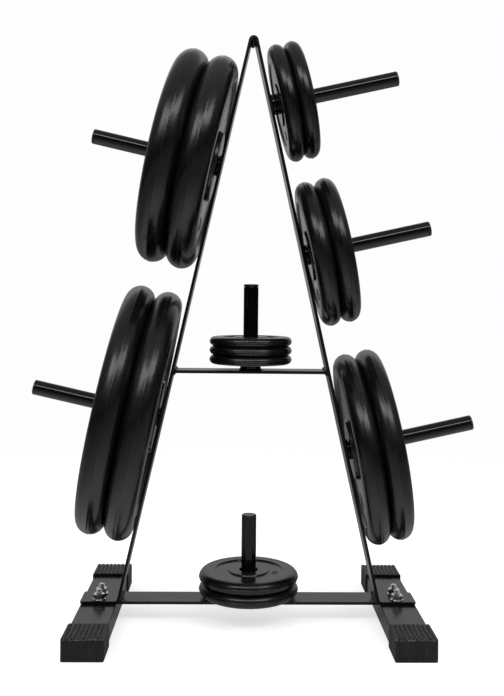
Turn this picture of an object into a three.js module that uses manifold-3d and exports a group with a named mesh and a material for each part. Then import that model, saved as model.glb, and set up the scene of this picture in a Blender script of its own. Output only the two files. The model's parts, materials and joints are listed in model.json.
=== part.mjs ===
// Plate tree: a welded A-shaped frame on two foot rails. Five side pegs and two upright pins carry
// fifteen weight plates, which slide off along them. Millimetres, +Z up, +X right, +Y back, floor at z = 0.
import * as THREE from "three";
import { mergeVertices } from "three/addons/utils/BufferGeometryUtils.js";
import Module from "manifold-3d";

const wasm = await Module();
wasm.setup();

// Fits
const clearance = 0.3; // between a loose or welded piece and what it sits on
const overrun = 4; // how far a cutter runs past the faces that it cuts

// Legs and cross bars, all of one flat bar
const frameHeight = 976.5;
const legLean = THREE.MathUtils.degToRad(12.7); // from the vertical
const barWidth = 50;
const barThickness = 5;
const apexRadius = 8.3; // round top of the weld that joins the legs
const footBendRadius = 4; // inside radius where a leg turns out into its foot tab
const tabOverhang = 0.5; // the tab runs past the outer side of its rail
const midBarTop = 419.5;
const weldLeg = 4; // fillet weld at the ends of a cross bar

// Foot rails, rectangular tube
const railWidth = 60;
const railHeight = 30;
const railLength = 356.5;
const railWall = 2;
const railCorner = 3;

// Ribbed caps on the rail ends
const capLength = 60;
const capSole = 1.2;
const capSide = 2.1;
const capFront = 4;
const capRoof = 5; // with the ribs
const capRibDepth = 2.2;
const capRibCount = 9;

// Foot bolts
const boltDiameter = 10;
const boltPitch = 29; // front to back
const boltHole = 11;
const boltPast = 7; // thread that stands out of the nut
const boltTip = 1; // chamfer at the end of the thread
const headHeight = 6.4;
const nutAcrossFlats = 17;
const nutHeight = 8;
const washerDiameter = 22;
const washerThickness = 2;
const spannerHole = 26; // in the underside of the rail, for a socket on the bolt head

// Pegs and pins, round tube with a weld collar at the root and a plug in the end
const pegDiameter = 25;
const pegWall = 2;
const pegLength = 218.5; // plug included
const collarDiameter = 35;
const collarEdge = 1;
const plugFlange = 4.5;
const plugInsert = 14;
const plugEdge = 0.8;

// Plates
const plateBore = 31;
const recessDraftShare = 0.4; // slope of a recess wall, of the recess depth
const plateSizes = {
  size1: { diameter: 138, thickness: 14.9, hub: 58, recess: 1.8, recessDiameter: 96, sides: 20 },
  size2: { diameter: 166, thickness: 20.6, hub: 68, recess: 2.4, recessDiameter: 114, sides: 20 },
  size3: { diameter: 197, thickness: 26.3, hub: 72, recess: 2, recessDiameter: 144, sides: 24 },
  size4: { diameter: 246, thickness: 32.4, hub: 85, recess: 2.8, recessDiameter: 186, sides: 24 },
  size5: { diameter: 320, thickness: 37.4, hub: 100, recess: 5.2, recessDiameter: 262, sides: 24 },
  size6: { diameter: 361, thickness: 49.2, hub: 117, recess: 5.5, recessDiameter: 292, sides: 28 },
  size7: { diameter: 419, thickness: 46.6, hub: 119, recess: 6.5, recessDiameter: 350, sides: 28 },
};

// How tall each peg's weld collar is and which plates hang on it, from the lowest peg of a leg upwards.
// The plates of a leg share it out between them: each leaves its spareShare of the spare length below it.
// They hang loose, so they stand a little off square to the peg, in degrees:
// lean tips them towards the vertical and turn swings their front edge towards the frame.
const sidePegs = {
  right_low: { side: 1, spareShare: 0.38, collar: 5.4, plates: "size5", lean: 2, turn: 1.2 },
  right_middle: { side: 1, spareShare: 0.26, collar: 6, plates: "size4", lean: 0.4, turn: 1 },
  right_top: { side: 1, spareShare: 0.186, collar: 10.3, plates: "size3", lean: 0, turn: 0 },
  left_low: { side: -1, spareShare: 0.449, collar: 3.3, plates: "size7", lean: 1, turn: 1.8 },
  left_top: { side: -1, spareShare: 0.229, collar: 3.6, plates: "size6", lean: 0, turn: -1 },
};
const bootRoom = 55; // along a leg from the floor, kept free for the rail and its bolts
const peakPass = 20; // how far the top plates may stand past the top of a leg
const midPin = { name: "mid", length: 144, collar: 9.8, plates: "size1" };
const basePin = { name: "base", length: 139.5, collar: 4.8, plates: "size2" };

// How round things are cut
const pegSides = 16;
const holeSides = 12;
const arcSteps = 3;
const rimSteps = 4;
const ribSteps = 3;

// Places worked out from the sizes
const railBottom = capSole + clearance;
const railTop = railBottom + railHeight;
const tabTop = railTop + barThickness;
const apexCentre = new THREE.Vector2(0, frameHeight - apexRadius);
const outerPeak = apexCentre.y + apexRadius / Math.sin(legLean); // where the outer faces would meet
const outward = new THREE.Vector2(Math.cos(legLean), Math.sin(legLean)); // square to the right-hand leg
const outerX = (z) => (outerPeak - z) * Math.tan(legLean);
const innerX = (z) => outerX(z) - (barThickness + clearance) / Math.cos(legLean);
const kneeX = outerX(tabTop);
const railX = kneeX + railWidth / 2;
const tabEndX = railX + railWidth / 2 + tabOverhang;
const bend = new THREE.Vector2(
  kneeX + footBendRadius * Math.tan(Math.PI / 4 - legLean / 2),
  tabTop + footBendRadius,
);

// Materials
const finish = (color, roughness, metalness) => ({ color, roughness, metalness });
const blackPaint = finish(0x17181a, 0.35, 0.3);
const glossPaint = finish(0x0c0c0d, 0.2, 0.3);
const blackPlastic = finish(0x161617, 0.5, 0);
const footRubber = finish(0x232324, 0.8, 0);
const plateRubber = finish(0x1a1a1b, 0.55, 0);
const zincSteel = finish(0xc9ccd0, 0.25, 1);

const tree = new THREE.Group();

function addPiece(parent, name, geometry, look, x = 0, y = 0, z = 0) {
  const mesh = new THREE.Mesh(geometry, new THREE.MeshStandardMaterial(look));
  mesh.name = name;
  mesh.position.set(x, y, z);
  parent.add(mesh);
  return mesh;
}

// A solid turned about the X axis from [radius, x] points that run forwards along its outside
function turned(profile, sides) {
  const points = profile.map(([radius, along]) => new THREE.Vector2(radius, along));
  return new THREE.LatheGeometry(points, sides).rotateZ(-Math.PI / 2);
}

// A solid of one (x, z) outline, width deep and centred on y = 0
function extrudedAlongY(outline, width, steps = arcSteps) {
  const options = { depth: width, bevelEnabled: false, curveSegments: steps };
  return new THREE.ExtrudeGeometry(outline, options)
    .rotateX(Math.PI / 2)
    .translate(0, width / 2, 0);
}

// A solid of one (x, y) outline that stands height tall on z = 0
function extrudedUp(outline, height, steps = arcSteps) {
  return new THREE.ExtrudeGeometry(outline, { depth: height, bevelEnabled: false, curveSegments: steps });
}

function solidOf(geometry) {
  const bare = geometry.clone();
  bare.deleteAttribute("normal");
  bare.deleteAttribute("uv");
  const merged = mergeVertices(bare);
  const mesh = new wasm.Mesh({
    numProp: 3,
    vertProperties: new Float32Array(merged.attributes.position.array),
    triVerts: new Uint32Array(merged.index.array),
  });
  return new wasm.Manifold(mesh);
}

function geometryOf(solid) {
  const { vertProperties, triVerts } = solid.getMesh();
  const geometry = new THREE.BufferGeometry();
  geometry.setAttribute("position", new THREE.BufferAttribute(vertProperties, 3));
  geometry.setIndex(new THREE.BufferAttribute(triVerts, 1));
  geometry.computeVertexNormals();
  return geometry;
}

function cutBy(geometry, cutters) {
  return geometryOf(cutters.reduce((left, cutter) => left.subtract(solidOf(cutter)), solidOf(geometry)));
}

// An upright round cutter at (x, y), from one height to another
function drill(diameter, x, y, from, to) {
  return new THREE.CylinderGeometry(diameter / 2, diameter / 2, to - from, holeSides)
    .rotateX(Math.PI / 2)
    .translate(x, y, (from + to) / 2);
}

function mirrored(outline, side) {
  return new THREE.Shape(outline.getPoints(arcSteps).map(({ x, y }) => new THREE.Vector2(side * x, y)));
}

const boltPlaces = [-boltPitch / 2, boltPitch / 2];

// Legs: one bar each, bent out at the bottom into the tab that is bolted to the foot rail
function legOutline() {
  const outerTop = apexCentre.clone().addScaledVector(outward, apexRadius);
  const innerTop = apexCentre.clone().addScaledVector(outward, apexRadius - barThickness);
  const outline = new THREE.Shape();
  outline.moveTo(innerTop.x, innerTop.y);
  outline.lineTo(outerTop.x, outerTop.y);
  outline.absarc(bend.x, bend.y, footBendRadius, Math.PI + legLean, 1.5 * Math.PI, false);
  outline.lineTo(tabEndX, tabTop);
  outline.lineTo(tabEndX, railTop);
  outline.absarc(bend.x, bend.y, footBendRadius + barThickness, 1.5 * Math.PI, Math.PI + legLean, true);
  return outline;
}

function makeLeg(name, side) {
  const bar = extrudedAlongY(mirrored(legOutline(), side), barWidth);
  const holes = boltPlaces.map((y) => drill(boltHole, side * railX, y, railTop - overrun, tabTop + overrun));
  addPiece(tree, name, cutBy(bar, holes), blackPaint);
}

// Apex weld: a half ring that closes the top over the ends of the two legs
function makeApexWeld() {
  const innerRadius = apexRadius - barThickness;
  const startOf = (radius) => legLean + Math.asin(clearance / radius);
  const outerStart = startOf(apexRadius);
  const innerStart = startOf(innerRadius);
  const { x, y } = apexCentre;
  const outline = new THREE.Shape();
  outline.absarc(x, y, apexRadius, outerStart, Math.PI - outerStart, false);
  outline.absarc(x, y, innerRadius, Math.PI - innerStart, innerStart, true);
  addPiece(tree, "apex_weld", extrudedAlongY(outline, barWidth), blackPaint);
}

// Mid bar: between the inner faces of the legs, with a fillet weld above and below each end
function makeMidBar() {
  const bottom = midBarTop - barThickness;
  const right = [
    [innerX(bottom) - weldLeg, bottom],
    [innerX(bottom - weldLeg), bottom - weldLeg],
    [innerX(midBarTop + weldLeg), midBarTop + weldLeg],
    [innerX(midBarTop) - weldLeg, midBarTop],
  ];
  const left = right.map(([x, z]) => [-x, z]).reverse();
  const outline = new THREE.Shape([...right, ...left].map(([x, z]) => new THREE.Vector2(x, z)));
  addPiece(tree, "mid_bar", extrudedAlongY(outline, barWidth), blackPaint);
}

// Base bar: level with the foot tabs, its ends and their welds following the bends of the legs
function makeBaseBar() {
  const reach = footBendRadius + barThickness + clearance;
  const topAngle = Math.PI + legLean;
  const bottomAngle = Math.PI + Math.asin((bend.y - railTop) / reach);
  const weldTop = [innerX(tabTop + weldLeg), tabTop + weldLeg];
  const weldToe = [innerX(tabTop) - weldLeg, tabTop];
  const outline = new THREE.Shape();
  outline.absarc(bend.x, bend.y, reach, bottomAngle, topAngle, true);
  outline.lineTo(...weldTop);
  outline.lineTo(...weldToe);
  outline.lineTo(-weldToe[0], weldToe[1]);
  outline.lineTo(-weldTop[0], weldTop[1]);
  outline.absarc(-bend.x, bend.y, reach, Math.PI - topAngle, Math.PI - bottomAngle, true);
  addPiece(tree, "base_bar", extrudedAlongY(outline, barWidth), blackPaint);
}

function roundedBox(width, bottom, top, corner) {
  const half = width / 2;
  const outline = new THREE.Shape();
  outline.absarc(half - corner, bottom + corner, corner, -Math.PI / 2, 0, false);
  outline.absarc(half - corner, top - corner, corner, 0, Math.PI / 2, false);
  outline.absarc(corner - half, top - corner, corner, Math.PI / 2, Math.PI, false);
  outline.absarc(corner - half, bottom + corner, corner, Math.PI, 1.5 * Math.PI, false);
  return outline;
}

// Foot rails: open tube with bolt holes in the upper wall and spanner holes in the lower wall
function makeRail(name, side) {
  const outline = roundedBox(railWidth, railBottom, railTop, railCorner);
  const inside = roundedBox(
    railWidth - 2 * railWall,
    railBottom + railWall,
    railTop - railWall,
    railCorner - railWall,
  );
  outline.holes.push(inside);
  const middle = (railBottom + railTop) / 2;
  const holes = boltPlaces.flatMap((y) => [
    drill(boltHole, 0, y, middle, railTop + overrun),
    drill(spannerHole, 0, y, railBottom - overrun, middle),
  ]);
  addPiece(tree, name, cutBy(extrudedAlongY(outline, railLength, 1), holes), blackPaint, side * railX);
}

// Foot caps: a shoe over each rail end, with round ribs along its top
function capOutline() {
  const half = railWidth / 2 + clearance + capSide;
  const ribTop = railTop + clearance + capRoof;
  const valley = ribTop - capRibDepth;
  const pitch = (2 * half) / capRibCount;
  const points = [new THREE.Vector2(half, 0)];
  for (let step = 0; step <= capRibCount * ribSteps; step += 1) {
    const rise = capRibDepth * Math.abs(Math.sin((Math.PI * step) / ribSteps));
    points.push(new THREE.Vector2(half - (pitch * step) / ribSteps, valley + rise));
  }
  points.push(new THREE.Vector2(-half, 0));
  return new THREE.Shape(points);
}

function makeFootCap(name, side, end) {
  const frontY = railLength / 2 + clearance + capFront;
  const middleY = end * (frontY - capLength / 2);
  const pocketWidth = railWidth + 2 * clearance;
  const pocketHeight = railHeight + 2 * clearance;
  const pocketEnd = frontY - capFront;
  const pocketLength = capLength - capFront + overrun;
  const pocket = new THREE.BoxGeometry(pocketWidth, pocketLength, pocketHeight).translate(
    0,
    end * (pocketEnd - pocketLength / 2),
    (railBottom + railTop) / 2,
  );
  const shoe = extrudedAlongY(capOutline(), capLength).translate(0, middleY, 0);
  addPiece(tree, name, cutBy(shoe, [pocket]), footRubber, side * railX);
}

// Foot bolts: the head bears on the inside of the rail's upper wall, washer and nut stand on the tab
function hexagon(acrossFlats, bore = 0) {
  const radius = acrossFlats / 2 / Math.cos(Math.PI / 6);
  const outline = new THREE.Shape();
  for (let corner = 0; corner < 6; corner += 1) {
    const angle = (Math.PI / 3) * corner;
    const reach = [radius * Math.cos(angle), radius * Math.sin(angle)];
    if (corner === 0) outline.moveTo(...reach);
    else outline.lineTo(...reach);
  }
  if (bore > 0) outline.holes.push(circle(bore));
  return outline;
}

function circle(diameter) {
  return new THREE.Path().absarc(0, 0, diameter / 2, 0, 2 * Math.PI, true);
}

function makeFootBolt(label, x, y) {
  const headTop = railTop - railWall;
  const tip = tabTop + washerThickness + nutHeight + boltPast;
  const radius = boltDiameter / 2;
  const shank = [
    [0, headTop - headHeight / 2],
    [radius, headTop - headHeight / 2],
    [radius, tip - boltTip],
    [radius - boltTip, tip],
    [0, tip],
  ];
  const standing = turned(shank, holeSides).rotateY(-Math.PI / 2);
  const head = extrudedUp(hexagon(nutAcrossFlats), headHeight).translate(0, 0, headTop - headHeight);
  const bolt = geometryOf(solidOf(standing).add(solidOf(head)));
  addPiece(tree, `bolt_${label}`, bolt, zincSteel, x, y);

  const bore = boltDiameter + 2 * clearance;
  const ring = [
    [bore / 2, 0],
    [washerDiameter / 2, 0],
    [washerDiameter / 2, washerThickness],
    [bore / 2, washerThickness],
    [bore / 2, 0],
  ];
  const washer = turned(ring, pegSides).rotateY(-Math.PI / 2);
  addPiece(tree, `washer_${label}`, washer, zincSteel, x, y, tabTop);
  const nut = extrudedUp(hexagon(nutAcrossFlats, bore), nutHeight, holeSides / 2);
  addPiece(tree, `nut_${label}`, nut, zincSteel, x, y, tabTop + washerThickness);
}

// Pegs and pins. Each stands in a group whose X axis runs out along it from the face it is welded to.
function makePeg(group, name, length, collar) {
  const radius = pegDiameter / 2;
  const bore = radius - pegWall;
  const flange = length - plugFlange;
  const tubeEnd = flange - clearance;
  const tube = [
    [bore, clearance],
    [collarDiameter / 2, clearance],
    [collarDiameter / 2, collar - collarEdge],
    [collarDiameter / 2 - collarEdge, collar],
    [radius, collar],
    [radius, tubeEnd],
    [bore, tubeEnd],
    [bore, clearance],
  ];
  addPiece(group, name, turned(tube, pegSides), glossPaint);
  const plug = [
    [0, flange - plugInsert],
    [bore - clearance, flange - plugInsert],
    [bore - clearance, flange],
    [radius, flange],
    [radius, length - plugEdge],
    [radius - plugEdge, length],
    [0, length],
  ];
  addPiece(group, `${name}_plug`, turned(plug, pegSides), blackPlastic);
}

// A plate: full-round rim, flat ring, recessed web and raised hub on both faces, centred on its middle
function plateGeometry({ diameter, thickness, hub, recess, recessDiameter, sides }) {
  const half = thickness / 2;
  const draft = recess * recessDraftShare;
  const rimCentre = diameter / 2 - half;
  const face = [
    [plateBore / 2, half],
    [hub / 2, half],
    [hub / 2 + draft, half - recess],
    [recessDiameter / 2 - draft, half - recess],
    [recessDiameter / 2, half],
  ];
  const rim = [];
  for (let step = 0; step <= rimSteps; step += 1) {
    const angle = Math.PI * (step / rimSteps) - Math.PI / 2;
    rim.push([rimCentre + half * Math.cos(angle), half * Math.sin(angle)]);
  }
  const back = face.map(([radius, along]) => [radius, -along]);
  const profile = [...back, ...rim, ...face.reverse(), back[0]];
  return turned(profile, sides);
}

// Hangs plates on a group's peg from its collar outwards, sagged onto the peg as far as the bores allow
function hangPlates(group, label, { collar, plates, lean = 0, turn = 0 }, places, side) {
  const size = plateSizes[plates];
  const half = size.thickness / 2;
  const leanAngle = THREE.MathUtils.degToRad(lean);
  const turnAngle = THREE.MathUtils.degToRad(turn);
  const tilt = Math.acos(Math.cos(leanAngle) * Math.cos(turnAngle));
  const play = (plateBore - pegDiameter) / 2 - clearance;
  const sag = Math.sqrt(play ** 2 - (half * Math.sin(turnAngle)) ** 2) - half * Math.sin(leanAngle);
  const first = collar + clearance + half * Math.cos(tilt) + (plateBore / 2) * Math.sin(tilt);
  const pitch = (size.thickness + clearance) / Math.cos(tilt);
  places.forEach((place, index) => {
    const x = first + index * pitch;
    const z = side === 0 ? 0 : -sag;
    const plate = addPiece(group, `plate_${label}_${place}`, plateGeometry(size), plateRubber, x, 0, z);
    plate.rotation.set(0, leanAngle, -side * turnAngle);
  });
}

// The height at which each peg of one leg meets the leg's outer face
function pegHeights(side) {
  const pegs = Object.entries(sidePegs).filter(([, peg]) => peg.side === side);
  const radiusOf = (peg) => plateSizes[peg.plates].diameter / 2;
  const taken = pegs.reduce((sum, [, peg]) => sum + 2 * radiusOf(peg), bootRoom);
  const spare = frameHeight / Math.cos(legLean) + peakPass - taken;
  const heights = {};
  let along = bootRoom;
  for (const [name, peg] of pegs) {
    along += peg.spareShare * spare + radiusOf(peg);
    heights[name] = along * Math.cos(legLean);
    along += radiusOf(peg);
  }
  return heights;
}

function makeSidePeg(name, height) {
  const peg = sidePegs[name];
  const { side, collar } = peg;
  const group = new THREE.Group();
  group.position.set(side * outerX(height), 0, height);
  group.rotation.set(0, -side * legLean, side > 0 ? 0 : Math.PI);
  tree.add(group);
  makePeg(group, `peg_${name}`, pegLength, collar);
  hangPlates(group, name, peg, ["inner", "outer"], side);
}

function makePin(pin, barTop, places) {
  const group = new THREE.Group();
  group.position.set(0, 0, barTop);
  group.rotation.set(0, -Math.PI / 2, 0);
  tree.add(group);
  makePeg(group, `pin_${pin.name}`, pin.length, pin.collar);
  hangPlates(group, pin.name, pin, places, 0);
}

for (const [sideName, side] of [["left", -1], ["right", 1]]) {
  makeLeg(`leg_${sideName}`, side);
  makeRail(`rail_${sideName}`, side);
  for (const [endName, end] of [["front", -1], ["back", 1]]) {
    makeFootCap(`foot_cap_${sideName}_${endName}`, side, end);
    makeFootBolt(`${sideName}_${endName}`, side * railX, end * boltPlaces[1]);
  }
}
makeApexWeld();
makeMidBar();
makeBaseBar();
for (const side of [1, -1]) {
  Object.entries(pegHeights(side)).forEach(([name, height]) => makeSidePeg(name, height));
}
makePin(midPin, midBarTop, ["lower", "middle", "upper"]);
makePin(basePin, tabTop, ["lower", "upper"]);

// The origin lies on the floor under the middle of the whole width
const extent = new THREE.Box3().setFromObject(tree, true);
tree.position.x = -(extent.min.x + extent.max.x) / 2;

export default tree;
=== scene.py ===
# Plate tree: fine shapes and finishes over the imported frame, in metres
import json
import math
import random

import bmesh
import bpy
import numpy as np
from mathutils import Matrix, Vector


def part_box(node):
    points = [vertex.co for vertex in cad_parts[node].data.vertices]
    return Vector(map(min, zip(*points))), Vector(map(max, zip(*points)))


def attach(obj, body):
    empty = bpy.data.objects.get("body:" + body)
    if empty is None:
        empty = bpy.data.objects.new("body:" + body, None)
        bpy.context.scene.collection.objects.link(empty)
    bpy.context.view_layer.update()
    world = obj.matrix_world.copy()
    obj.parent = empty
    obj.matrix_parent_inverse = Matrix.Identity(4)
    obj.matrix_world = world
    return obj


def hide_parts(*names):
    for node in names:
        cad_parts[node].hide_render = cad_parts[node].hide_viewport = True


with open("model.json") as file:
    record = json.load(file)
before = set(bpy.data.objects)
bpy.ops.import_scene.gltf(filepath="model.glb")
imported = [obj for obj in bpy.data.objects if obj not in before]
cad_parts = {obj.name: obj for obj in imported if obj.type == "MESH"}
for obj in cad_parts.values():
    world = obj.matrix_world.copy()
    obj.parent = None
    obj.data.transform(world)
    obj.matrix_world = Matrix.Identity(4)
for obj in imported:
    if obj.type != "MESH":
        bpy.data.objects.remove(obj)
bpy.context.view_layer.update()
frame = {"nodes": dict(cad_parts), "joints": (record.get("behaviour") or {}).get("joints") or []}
mm = 0.001
print("frame loaded:", len(frame["nodes"]), "nodes")


# Places read from the frame

def pointsOf(node):
    mesh = frame["nodes"][node].data
    flat = np.empty(len(mesh.vertices) * 3)
    mesh.vertices.foreach_get("co", flat)
    return flat.reshape(-1, 3)


def centreOf(node):
    low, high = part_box(node)
    return (low + high) / 2


def slideOf(body):
    joint = next(joint for joint in frame["joints"] if joint["child"] == body)
    return Vector(joint["axis"]).normalized()


def placeAlong(origin, axis):
    # z runs along the axis and y stays as near to the depth of the tree as it can
    z = Vector(axis).normalized()
    x = Vector((0, 1, 0)).cross(z).normalized()
    y = z.cross(x)
    turn = Matrix((x, y, z)).transposed().to_4x4()
    return Matrix.Translation(origin) @ turn


def roundPlace(node, along, thin=False):
    # the place of a round solid's start and its length, from how its corners spread
    points = pointsOf(node)
    middle = points.mean(axis=0)
    spread = points - middle
    axis = np.linalg.eigh(spread.T @ spread)[1][:, 0 if thin else 2]
    axis = axis * math.copysign(1, axis @ np.array(along))
    reach = spread @ axis
    start = middle + axis * reach.min()
    return placeAlong(Vector(start), Vector(axis)), reach.max() - reach.min()


def localPoints(node, place):
    back = place.inverted()
    return pointsOf(node) @ np.array(back.to_3x3()).T + np.array(back.translation)


pegNames = ["right_top", "right_middle", "right_low", "left_top", "left_low"]
pinNames = ["mid", "base"]
plateSpots = {peg: ["inner", "outer"] for peg in pegNames}
plateSpots.update(mid=["lower", "middle", "upper"], base=["lower", "upper"])
sides = {"left": -1, "right": 1}
ends = {"front": -1, "back": 1}
up = Vector((0, 0, 1))
treeX = centreOf("mid_bar").x
lean = math.asin(slideOf("plate_right_top_inner").z)


# Mesh making

meshing = {
    "mergeDistance": 0.01 * mm,
    "flatsWeight": 80,
    "nearlyStraight": math.radians(88),
    "leastReach": 1e-7,
}


def linked(name, data):
    # a new object in the scene
    made = bpy.data.objects.new(name, data)
    bpy.context.scene.collection.objects.link(made)
    return made


def settled(holder):
    # the mesh of an object as its modifiers leave it
    graph = bpy.context.evaluated_depsgraph_get()
    return bpy.data.meshes.new_from_object(holder.evaluated_get(graph))


def newPiece(name, shape, material=None, body=None, replaced=(), sharp=30):
    # from vertices and faces; with neither material nor body, a solid on the way to a piece
    vertices, faces = shape
    mesh = bpy.data.meshes.new(name)
    mesh.from_pydata([tuple(v) for v in vertices], [], faces)
    piece = linked(name, mesh)
    mend = bmesh.new()
    mend.from_mesh(mesh)
    bmesh.ops.remove_doubles(mend, verts=mend.verts, dist=meshing["mergeDistance"])
    bmesh.ops.recalc_face_normals(mend, faces=mend.faces)
    mend.to_mesh(mesh)
    mend.free()
    finishPiece(piece, material, body, replaced, sharp)
    return piece


def finePiece(node, shape, material, sharp=30, body="frame"):
    # the piece that takes the place of one node
    return newPiece(f"{node}_fine", shape, material, body, [node], sharp)


def cutBy(solid, cutters):
    # the mesh of a solid with the cutters taken out of it
    for cutter in cutters:
        cut = solid.modifiers.new("cut", "BOOLEAN")
        cut.operation = "DIFFERENCE"
        cut.solver = "EXACT"
        cut.object = cutter
    mesh = settled(solid)
    for used in [solid, *cutters]:
        bpy.data.objects.remove(used)
    return mesh


def joined(name, meshes, material, replaced, sharp=30):
    # one piece of the frame from several finished meshes
    both = bmesh.new()
    for mesh in meshes:
        both.from_mesh(mesh)
    mesh = bpy.data.meshes.new(name)
    both.to_mesh(mesh)
    both.free()
    piece = linked(name, mesh)
    for polygon in mesh.polygons:
        polygon.material_index = 0
    finishPiece(piece, material, "frame", replaced, sharp)
    return piece


def finishPiece(piece, material, body, replaced, sharp):
    mesh = piece.data
    if material:
        mesh.materials.clear()
        mesh.materials.append(material)
    mesh.shade_smooth()
    mesh.set_sharp_from_angle(angle=math.radians(sharp))
    if material:
        flats = piece.modifiers.new("flats", "WEIGHTED_NORMAL")
        flats.keep_sharp = True
        flats.weight = meshing["flatsWeight"]
    if body:
        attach(piece, body)
    if replaced:
        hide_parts(*replaced)


def roundedLoop(corners, steps=4):
    # corners are (x, y, radius); each becomes an arc that touches both of its sides
    loop = []
    for index, (x, y, radius) in enumerate(corners):
        corner = Vector((x, y))
        before = Vector(corners[index - 1][:2]) - corner
        after = Vector(corners[(index + 1) % len(corners)][:2]) - corner
        half = before.angle(after) / 2
        reach = radius / math.tan(half) if radius else 0
        if reach < meshing["leastReach"] or half > meshing["nearlyStraight"]:
            loop.append(corner)
            continue
        inward = (before.normalized() + after.normalized()).normalized()
        centre = corner + inward * (radius / math.sin(half))
        start = corner + before.normalized() * reach - centre
        end = corner + after.normalized() * reach - centre
        turn = start.angle_signed(end)
        for step in range(steps + 1):
            angle = -turn * step / steps
            spun = Matrix.Rotation(angle, 2) @ start
            loop.append(centre + spun)
    return loop


def roundedBox(x0, x1, y0, y1, radius, steps):
    spots = ((x0, y0), (x1, y0), (x1, y1), (x0, y1))
    return roundedLoop([(x, y, radius) for x, y in spots], steps)


def sweepRings(stations, closed=False):
    # faces between equal loops of points, with the ends filled unless they meet
    vertices = [point for loop in stations for point in loop]
    rows, count = len(stations), len(stations[0])
    faces = []
    for row in range(rows if closed else rows - 1):
        nextRow = (row + 1) % rows
        for index in range(count):
            other = (index + 1) % count
            faces.append((
                row * count + index,
                row * count + other,
                nextRow * count + other,
                nextRow * count + index,
            ))
    if not closed:
        faces.append(tuple(range(count)))
        faces.append(tuple(range(len(vertices) - count, len(vertices))))
    return vertices, faces


def roundSpot(radius, angle, height):
    return Vector((radius * math.cos(angle), radius * math.sin(angle), height))


def latheRings(profile, place, segments, closed=True):
    # a profile of (radius, height) points turned about the z axis of place
    turns = [2 * math.pi * turn / segments for turn in range(segments)]
    rings = [[place @ roundSpot(radius, turn, z) for turn in turns] for radius, z in profile]
    return sweepRings(rings, closed)


# Node trees

def grey(level):
    return (level, level, level, 1)


class Wire:
    # a socket that plain sums work on
    def __init__(self, board, socket):
        self.board = board
        self.socket = socket

    def sum(self, operation, first, second):
        return self.board.node("ShaderNodeMath", {"operation": operation}, [first, second])

    def __add__(self, other):
        return self.sum("ADD", self, other)

    def __radd__(self, other):
        return self.sum("ADD", other, self)

    def __rsub__(self, other):
        return self.sum("SUBTRACT", other, self)

    def __mul__(self, other):
        return self.sum("MULTIPLY", self, other)


class Board:
    # a node tree that is being wired up
    def __init__(self, tree):
        self.tree = tree

    def node(self, kind, settings=None, inputs=None, output=0):
        made = self.tree.nodes.new(kind)
        for key, value in (settings or {}).items():
            if key == "stops":
                self.setStops(made.color_ramp, value)
            else:
                setattr(made, key, value)
        pairs = inputs.items() if isinstance(inputs, dict) else enumerate(inputs or [])
        for key, value in pairs:
            self.feed(made.inputs[key], value)
        return None if output is None else Wire(self, made.outputs[output])

    def part(self, vector, axis):
        return self.node("ShaderNodeSeparateXYZ", {}, {"Vector": vector}, axis)

    def slope(self, value, low, high, start=0, end=1):
        # a smooth change from start to end while the value goes from low to high
        ends = {"From Min": low, "From Max": high, "To Min": start, "To Max": end}
        settings = {"interpolation_type": "SMOOTHSTEP"}
        return self.node("ShaderNodeMapRange", settings, {"Value": value, **ends})

    def setStops(self, ramp, stops):
        while len(ramp.elements) < len(stops):
            ramp.elements.new(1)
        for element, (position, level) in zip(ramp.elements, stops):
            element.position = position
            element.color = grey(level)

    def feed(self, socket, value):
        if isinstance(value, Wire):
            self.tree.links.new(value.socket, socket)
        else:
            socket.default_value = value


def emptyBoard(owner):
    owner.use_nodes = True
    owner.node_tree.nodes.clear()
    return Board(owner.node_tree)


class Finish(Board):
    # a material with one main shader
    def __init__(self, name, look, **fixed):
        self.material = bpy.data.materials.new(name)
        self.material.use_nodes = True
        super().__init__(self.material.node_tree)
        self.shader = self.tree.nodes["Principled BSDF"]
        self.wear(Base_Color=look["colour"], Roughness=look["roughness"], **fixed)
        self.spot = self.node("ShaderNodeTexCoord", output="Object")

    def attribute(self, name):
        return self.node("ShaderNodeAttribute", {"attribute_name": name}, {}, "Fac")

    def noise(self, scale, detail=3, roughness=0.5, stretch=None, spot=None):
        spot = spot or self.spot
        if stretch:
            spot = self.node("ShaderNodeMapping", {}, {"Vector": spot, "Scale": stretch})
        values = {"Vector": spot, "Scale": scale, "Detail": detail, "Roughness": roughness}
        return self.node("ShaderNodeTexNoise", {}, values, "Fac")

    def ramp(self, value, stops):
        return self.node("ShaderNodeValToRGB", {"stops": stops}, {"Fac": value}, "Color")

    def blend(self, mask, first, second):
        values = {0: mask, 6: first, 7: second}
        return self.node("ShaderNodeMix", {"data_type": "RGBA"}, values, 2)

    def bump(self, height, depth, under=None):
        values = {"Height": height, "Distance": depth, "Strength": 1}
        if under:
            values["Normal"] = under
        return self.node("ShaderNodeBump", {}, values, "Normal")

    def wear(self, **links):
        for key, value in links.items():
            self.feed(self.shader.inputs[key.replace("_", " ")], value)
        return self.material


# Finishes: a noise is its scale, detail, roughness and stretch, and a stop a place and a grey

powderLook = {
    "colour": (0.0035, 0.0035, 0.0037, 1),
    "dusty": grey(0.014),
    "roughness": 0.22,
    "smoothest": 0.17,
    "peel": (900, 2),
    "peelDepth": 0.012 * mm,
    "peelRoughness": 0.06,
    "waves": (60, 2),
    "waveDepth": 0.08 * mm,
    "weldWaveDepth": 0.3 * mm,
    "smear": (14, 4, 0.6),
    "smearStops": ((0.42, 0), (0.72, 1)),
    "smearPaleness": 0.5,
    "smearRoughness": 0.09,
}


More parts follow.
